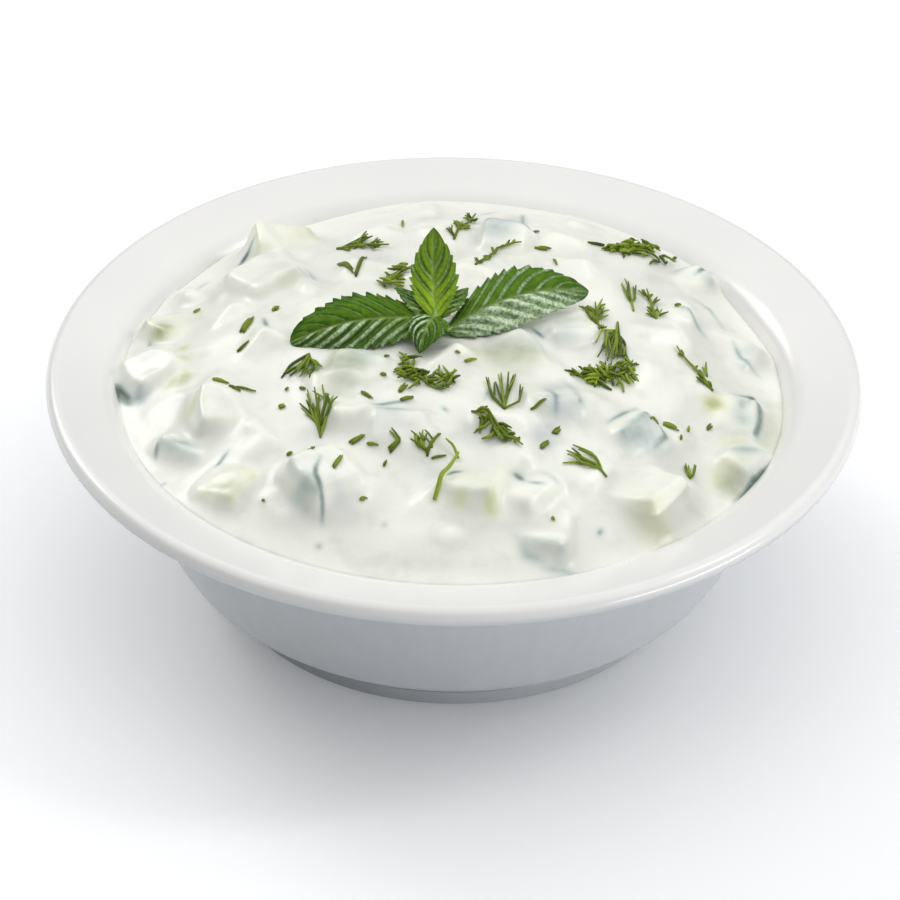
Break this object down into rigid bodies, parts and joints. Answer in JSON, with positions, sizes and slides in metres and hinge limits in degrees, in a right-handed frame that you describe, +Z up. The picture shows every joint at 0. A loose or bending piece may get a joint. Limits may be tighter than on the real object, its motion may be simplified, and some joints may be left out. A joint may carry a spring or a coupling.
{
  "type": "tzatziki dip in its bowl",
  "caption": "Thick yogurt dip heaped in a round white bowl with a wide sloping rim, with diced cucumber, chopped dill and a mint sprig on top.",
  "frame": {"origin": "centre of the bowl's foot, on the surface that it stands on", "axes": "+Z up along the bowl's axis, -Y towards the front, from where the longer mint leaves point left and right"},
  "size_m": [0.1648, 0.1648, 0.0778],
  "materials": {
    "porcelain": "smooth white glaze, glossy",
    "yogurt": "thick moist strained yogurt, soft sheen",
    "cucumber": "wet translucent pale green flesh with dark green skin",
    "mint": "ribbed green leaf with a silvery sheen",
    "dill": "fine dark green herb"
  },
  "bodies": {
    "root": {"bowl": "porcelain", "tzatziki": "yogurt", "mint_sprig": "mint", "cucumber_back": "cucumber", "cucumber_back_left": "cucumber", "cucumber_left_back": "cucumber", "cucumber_left_wall": "cucumber", "cucumber_left_rim": "cucumber", "cucumber_left_front": "cucumber", "cucumber_front_left_rim": "cucumber", "cucumber_front_left_flesh": "cucumber", "cucumber_front_left": "cucumber", "cucumber_slab": "cucumber", "cucumber_under_leaf": "cucumber", "cucumber_ridge": "cucumber", "cucumber_seeds": "cucumber", "cucumber_front_line": "cucumber", "cucumber_front_rim": "cucumber", "cucumber_middle": "cucumber", "cucumber_cube": "cucumber", "cucumber_front_block": "cucumber", "cucumber_right_rim": "cucumber", "cucumber_right": "cucumber", "cucumber_right_wall": "cucumber", "cucumber_back_right": "cucumber", "cucumber_beside_mint": "cucumber", "cucumber_right_leaf": "cucumber"}
  },
  "joints": []
}
